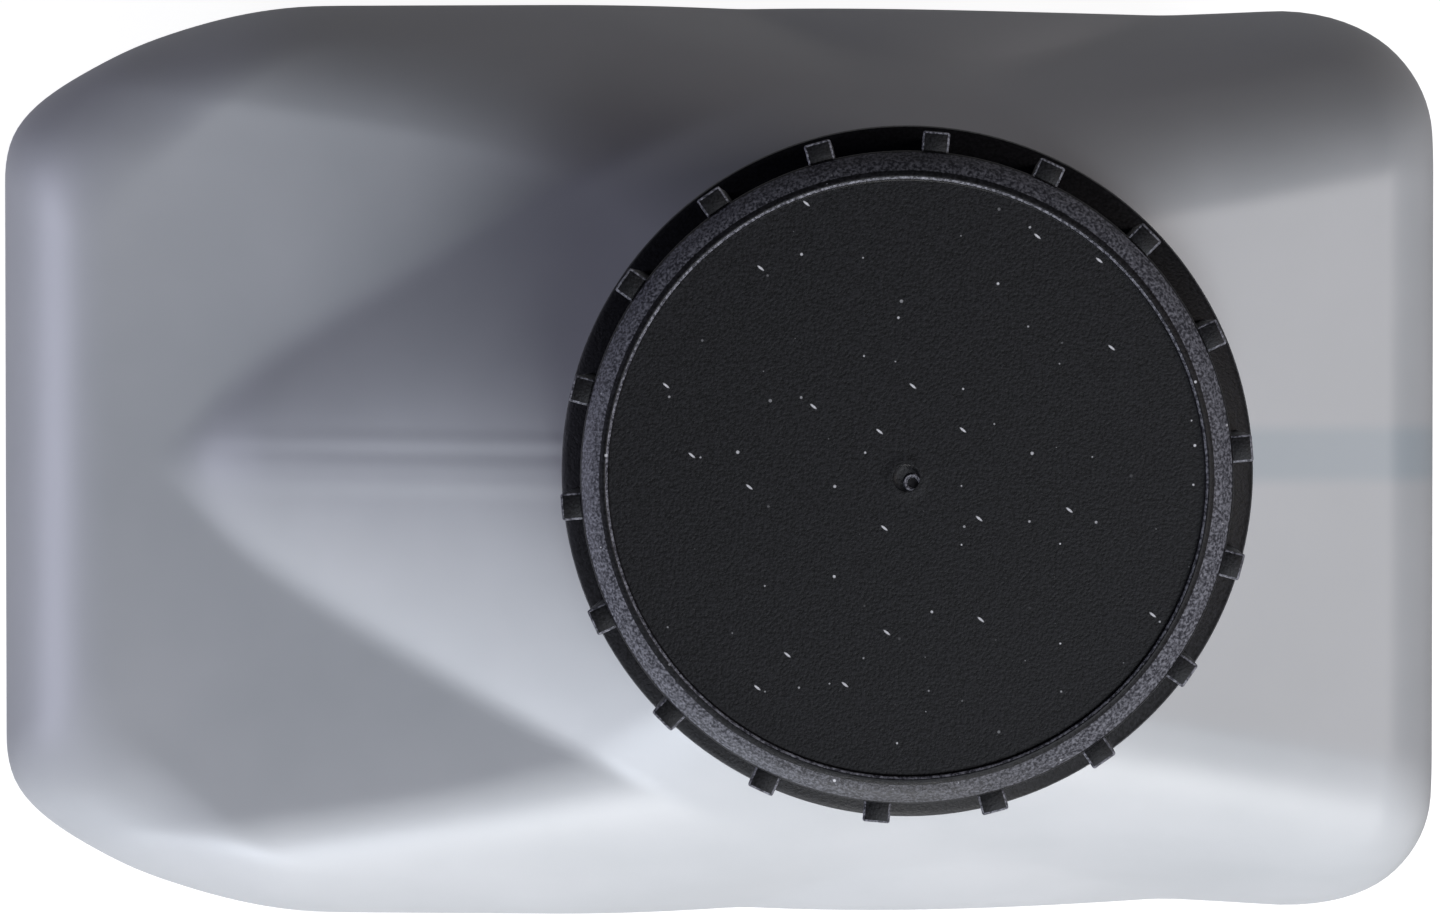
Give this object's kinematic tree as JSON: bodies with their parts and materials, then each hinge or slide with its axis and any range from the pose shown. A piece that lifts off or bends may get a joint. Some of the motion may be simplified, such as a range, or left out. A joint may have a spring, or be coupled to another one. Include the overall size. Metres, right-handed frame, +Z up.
{
  "type": "transmission fluid bottle",
  "caption": "Blow-moulded one-quart fluid bottle with an offset threaded neck, sloping faired shoulder and ribbed screw cap.",
  "frame": {"origin": "centre of the base, at the height of the land that the bottle stands on", "axes": "+Z up, +X towards the neck side, label faces towards -Y and +Y"},
  "size_m": [0.1036, 0.0662, 0.2],
  "materials": {
    "bottle_resin": "satin",
    "cap_resin": "matte",
    "wad_board": "matte",
    "foil": "satin"
  },
  "bodies": {
    "bottle_body": {"bottle": "bottle_resin", "foil_seal": "foil"},
    "wad_body": {"cap_liner": "wad_board"},
    "cap_body": {"cap": "cap_resin"}
  },
  "joints": [
    {"name": "cap_lift", "type": "slide", "parent": "bottle_body", "child": "wad_body", "axis": [0, 0, 1], "range_m": [0, 0.0053]},
    {"name": "cap_turn", "type": "hinge", "parent": "wad_body", "child": "cap_body", "pos_m": [0.015, 0, 0.184], "axis": [0, 0, 1], "range_deg": [0, 450]}
  ],
  "couplings": [
    {"joint": "cap_lift", "follows": "cap_turn", "m_per_rad": 0.00067322}
  ]
}
